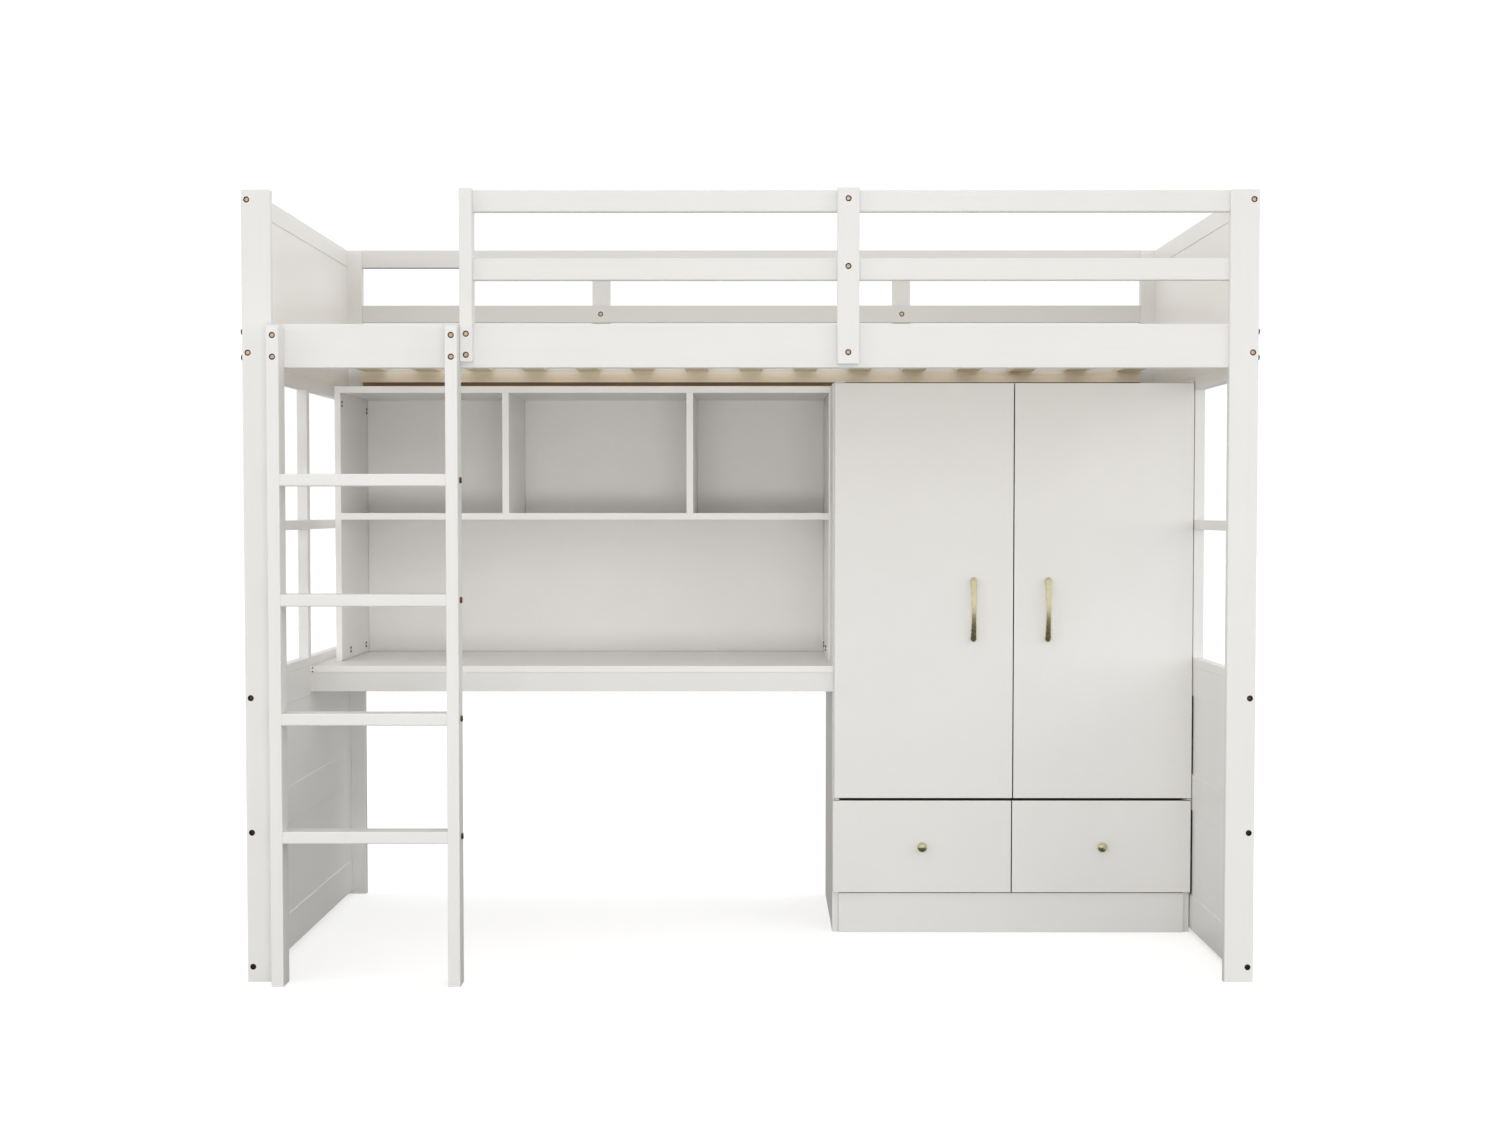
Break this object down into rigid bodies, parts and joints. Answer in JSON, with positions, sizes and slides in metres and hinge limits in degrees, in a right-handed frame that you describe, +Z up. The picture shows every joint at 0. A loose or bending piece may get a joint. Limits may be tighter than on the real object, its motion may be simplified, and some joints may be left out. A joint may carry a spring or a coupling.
{
  "type": "loft bed with desk",
  "caption": "High sleeper bed on post-and-panel end frames, with a ladder and guard rails, over a desk with an open hutch and a wardrobe with doors and drawers.",
  "frame": {"origin": "centre of the footprint on the floor, under the posts", "axes": "+X along the bed from the desk to the wardrobe, +Y from the ladder side to the wall side, +Z up"},
  "size_m": [1.9962, 1.107, 1.559],
  "materials": {
    "white_paint": "solid wood with satin white paint",
    "white_board": "board with a white satin face",
    "pine": "bare planed pine",
    "brass": "pale brushed brass",
    "copper_bolt": "copper coloured bolt heads",
    "dark_bolt": "blackened steel",
    "zinc_steel": "zinc plated",
    "rod_chrome": "bright",
    "hinge_white": "white painted steel"
  },
  "bodies": {
    "root": {"post_front_left": "white_paint", "post_front_right": "white_paint", "post_back_left": "white_paint", "post_back_right": "white_paint", "left_end_rails": "white_paint", "right_end_rails": "white_paint", "left_end_panels": "white_paint", "right_end_panels": "white_paint", "left_window_bars": "white_paint", "right_window_bars": "white_paint", "front_bed_rail": "white_paint", "back_bed_rail": "white_paint", "guard_top_rail": "white_paint", "guard_lower_rail": "white_paint", "guard_end_post": "white_paint", "guard_center_board": "white_paint", "back_guard_rails": "white_paint", "back_guard_supports": "white_paint", "ladder_left_stile": "white_paint", "ladder_right_stile": "white_paint", "ladder_rungs": "white_paint", "slat_ledgers": "pine", "bed_slats": "pine", "desk_top": "white_board", "desk_frame": "white_board", "hutch_left_side": "white_board", "hutch_right_side": "white_board", "hutch_top": "white_board", "hutch_shelf": "white_board", "hutch_dividers": "white_board", "hutch_back": "white_board", "wardrobe_left_side": "white_board", "wardrobe_right_side": "white_board", "wardrobe_top": "white_board", "wardrobe_deck": "white_board", "wardrobe_base": "white_board", "wardrobe_partition": "white_board", "wardrobe_plinth": "white_board", "wardrobe_back": "white_board", "upper_frame_bolts": "copper_bolt", "ladder_bolts": "copper_bolt", "lower_frame_bolts": "dark_bolt", "side_frame_bolts": "dark_bolt", "hutch_screws": "dark_bolt", "cabinet_runners": "zinc_steel", "hanging_rod": "rod_chrome", "door_pivot_plates": "hinge_white"},
    "left_door": {"left_door": "white_board", "left_handle": "brass"},
    "right_door": {"right_door": "white_board", "right_handle": "brass"},
    "left_drawer": {"left_drawer_front": "white_board", "left_drawer_box": "white_board", "left_drawer_knob": "brass", "left_drawer_runners": "zinc_steel"},
    "right_drawer": {"right_drawer_front": "white_board", "right_drawer_box": "white_board", "right_drawer_knob": "brass", "right_drawer_runners": "zinc_steel"}
  },
  "joints": [
    {"name": "left_door_hinge", "type": "hinge", "parent": "root", "child": "left_door", "pos_m": [0.19, 0.0095, 0.75], "axis": [0, 0, -1], "range_deg": [0, 105]},
    {"name": "right_door_hinge", "type": "hinge", "parent": "root", "child": "right_door", "pos_m": [0.9637, 0.0095, 0.75], "axis": [0, 0, 1], "range_deg": [0, 90]},
    {"name": "left_drawer_slide", "type": "slide", "parent": "root", "child": "left_drawer", "axis": [0, -1, 0], "range_m": [0, 0.35]},
    {"name": "right_drawer_slide", "type": "slide", "parent": "root", "child": "right_drawer", "axis": [0, -1, 0], "range_m": [0, 0.35]}
  ]
}
